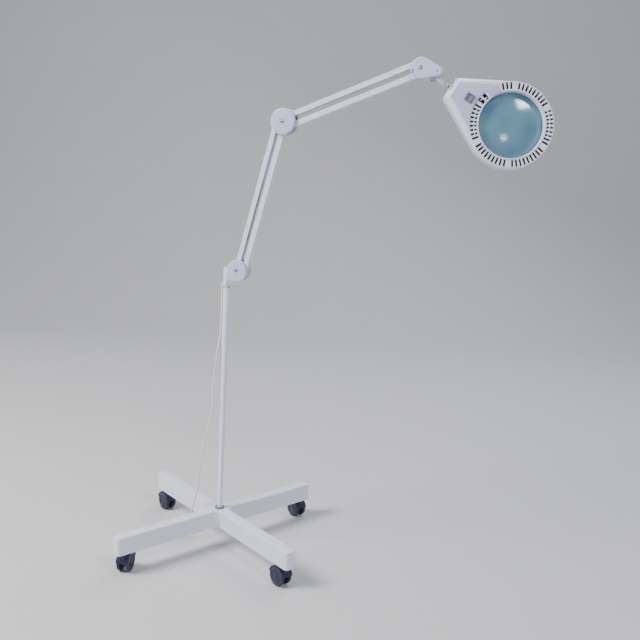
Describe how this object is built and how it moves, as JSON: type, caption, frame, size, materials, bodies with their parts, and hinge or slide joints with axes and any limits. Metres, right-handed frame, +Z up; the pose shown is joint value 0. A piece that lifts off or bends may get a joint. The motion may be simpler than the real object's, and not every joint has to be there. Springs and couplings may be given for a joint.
{
  "type": "magnifying lamp",
  "caption": "Floor-standing magnifying lamp: wheeled cross base, slim pole, two spring-balanced parallelogram arms and a pear-shaped head with a round lens, vent ring and rocker switch.",
  "frame": {"origin": "on the floor, on the pole's axis", "axes": "+Z up along the pole; +X along the arms at rest; the arm pivots run along Y"},
  "size_m": [0.8771, 0.4702, 1.0837],
  "materials": {
    "powder_coat": "fine powder coat, satin",
    "iron": "rough cast",
    "steel": "zinc plated",
    "grey_plastic": "fine grain",
    "caster_plastic": "moulded nylon",
    "caster_tread": "moulded nylon, scuffed",
    "white_plastic": "moulded ABS, satin",
    "cable_sheath": "soft PVC",
    "lens_glass": "polished, coated",
    "diffuser": "frosted",
    "board": "solder mask",
    "led": "clear"
  },
  "bodies": {
    "stand": {"base_shell": "powder_coat", "base_plate": "powder_coat", "leg_weights": "iron", "hub_block": "steel", "pole_collar": "grey_plastic", "pole_bolt": "steel", "lower_pole": "powder_coat", "upper_pole": "powder_coat", "swivel_bush": "grey_plastic", "caster_stems": "steel", "power_cable": "cable_sheath", "plug_body": "cable_sheath", "plug_pins": "steel"},
    "shoulder": {"pole_bracket": "powder_coat", "shoulder_pins": "steel", "shoulder_front_cover": "white_plastic", "shoulder_rear_cover": "white_plastic", "shoulder_screws": "steel"},
    "lower_main": {"lower_main_bar": "powder_coat", "lower_spring": "steel"},
    "lower_second": {"lower_second_bar": "powder_coat", "lower_wire": "cable_sheath"},
    "elbow": {"elbow_plates": "steel", "elbow_pins": "steel", "elbow_front_cover": "white_plastic", "elbow_rear_cover": "white_plastic", "elbow_screws": "steel"},
    "upper_main": {"upper_main_bar": "powder_coat", "upper_spring": "steel"},
    "upper_second": {"upper_second_bar": "powder_coat", "upper_wire": "cable_sheath"},
    "tip": {"tip_bracket": "steel", "tip_pins": "steel", "tip_front_cover": "white_plastic", "tip_rear_cover": "white_plastic", "tip_screws": "steel", "pan_bolt": "steel"},
    "yoke": {"yoke": "powder_coat", "tilt_screw": "steel"},
    "neck": {"neck_joint": "steel"},
    "head": {"neck_bush": "white_plastic", "head_lower_shell": "white_plastic", "head_upper_cover": "white_plastic", "lens": "lens_glass", "lens_ring": "white_plastic", "led_board": "board", "leds": "led", "diffuser_ring": "diffuser", "driver_board": "board", "switch_body": "grey_plastic", "head_screws": "steel"},
    "rocker": {"switch_rocker": "grey_plastic"},
    "front_left_caster": {"front_left_hood": "caster_plastic"},
    "front_left_wheelset": {"front_left_wheels": "caster_tread"},
    "front_right_caster": {"front_right_hood": "caster_plastic"},
    "front_right_wheelset": {"front_right_wheels": "caster_tread"},
    "rear_right_caster": {"rear_right_hood": "caster_plastic"},
    "rear_right_wheelset": {"rear_right_wheels": "caster_tread"},
    "rear_left_caster": {"rear_left_hood": "caster_plastic"},
    "rear_left_wheelset": {"rear_left_wheels": "caster_tread"}
  },
  "joints": [
    {"name": "front_left_swivel", "type": "hinge", "parent": "stand", "child": "front_left_caster", "pos_m": [-0.121, -0.20958, 0.03], "axis": [0, 0, 1], "continuous": true},
    {"name": "front_left_roll", "type": "hinge", "parent": "front_left_caster", "child": "front_left_wheelset", "pos_m": [-0.12308, -0.19776, 0.021], "axis": [-0.9848, -0.1736, 0], "continuous": true},
    {"name": "front_right_swivel", "type": "hinge", "parent": "stand", "child": "front_right_caster", "pos_m": [0.20958, -0.121, 0.03], "axis": [0, 0, 1], "continuous": true},
    {"name": "front_right_roll", "type": "hinge", "parent": "front_right_caster", "child": "front_right_wheelset", "pos_m": [0.19919, -0.115, 0.021], "axis": [-0.5, -0.866, 0], "continuous": true},
    {"name": "rear_right_swivel", "type": "hinge", "parent": "stand", "child": "rear_right_caster", "pos_m": [0.121, 0.20958, 0.03], "axis": [0, 0, 1], "continuous": true},
    {"name": "rear_right_roll", "type": "hinge", "parent": "rear_right_caster", "child": "rear_right_wheelset", "pos_m": [0.11082, 0.21594, 0.021], "axis": [-0.5299, -0.848, 0], "continuous": true},
    {"name": "rear_left_swivel", "type": "hinge", "parent": "stand", "child": "rear_left_caster", "pos_m": [-0.20958, 0.121, 0.03], "axis": [0, 0, 1], "continuous": true},
    {"name": "rear_left_roll", "type": "hinge", "parent": "rear_left_caster", "child": "rear_left_wheelset", "pos_m": [-0.1994, 0.11464, 0.021], "axis": [0.5299, 0.848, 0], "continuous": true},
    {"name": "stand_swivel", "type": "hinge", "parent": "stand", "child": "shoulder", "pos_m": [0, 0, 0.6], "axis": [0, 0, 1], "range_deg": [-170, 170]},
    {"name": "lower_arm_lift", "type": "hinge", "parent": "shoulder", "child": "lower_main", "pos_m": [0.0236, 0, 0.6424], "axis": [0, -1, 0], "range_deg": [-46, 20]},
    {"name": "lower_second_turn", "type": "hinge", "parent": "shoulder", "child": "lower_second", "pos_m": [0.0384, 0, 0.6276], "axis": [0, -1, 0], "range_deg": [-46, 20]},
    {"name": "elbow_level", "type": "hinge", "parent": "lower_main", "child": "elbow", "pos_m": [0.10114, 0, 0.95338], "axis": [0, -1, 0], "range_deg": [-20, 46]},
    {"name": "upper_arm_lift", "type": "hinge", "parent": "elbow", "child": "upper_main", "pos_m": [0.12554, 0, 0.96588], "axis": [0, -1, 0], "range_deg": [-62, 38]},
    {"name": "upper_second_turn", "type": "hinge", "parent": "elbow", "child": "upper_second", "pos_m": [0.12914, 0, 0.94568], "axis": [0, -1, 0], "range_deg": [-62, 38]},
    {"name": "tip_level", "type": "hinge", "parent": "upper_main", "child": "tip", "pos_m": [0.38626, 0, 1.07334], "axis": [0, -1, 0], "range_deg": [-38, 62]},
    {"name": "head_pan", "type": "hinge", "parent": "tip", "child": "yoke", "pos_m": [0.41746, 0, 1.04924], "axis": [0, 0, 1], "range_deg": [-105, 75]},
    {"name": "head_tilt", "type": "hinge", "parent": "yoke", "child": "neck", "pos_m": [0.43871, 0.00569, 1.03524], "axis": [0.2588, -0.9659, 0], "range_deg": [-60, 30]},
    {"name": "head_roll", "type": "hinge", "parent": "neck", "child": "head", "pos_m": [0.43871, 0.00569, 1.03524], "axis": [0.8529, 0.2285, -0.4695], "range_deg": [-172, 10]},
    {"name": "switch_press", "type": "hinge", "parent": "head", "child": "rocker", "pos_m": [0.48911, 0.00526, 1.01156], "axis": [0.413, 0.2548, 0.8744], "range_deg": [0, 16]}
  ],
  "couplings": [
    {"joint": "lower_second_turn", "follows": "lower_arm_lift", "ratio": 1},
    {"joint": "elbow_level", "follows": "lower_arm_lift", "ratio": -1},
    {"joint": "upper_second_turn", "follows": "upper_arm_lift", "ratio": 1},
    {"joint": "tip_level", "follows": "upper_arm_lift", "ratio": -1}
  ]
}
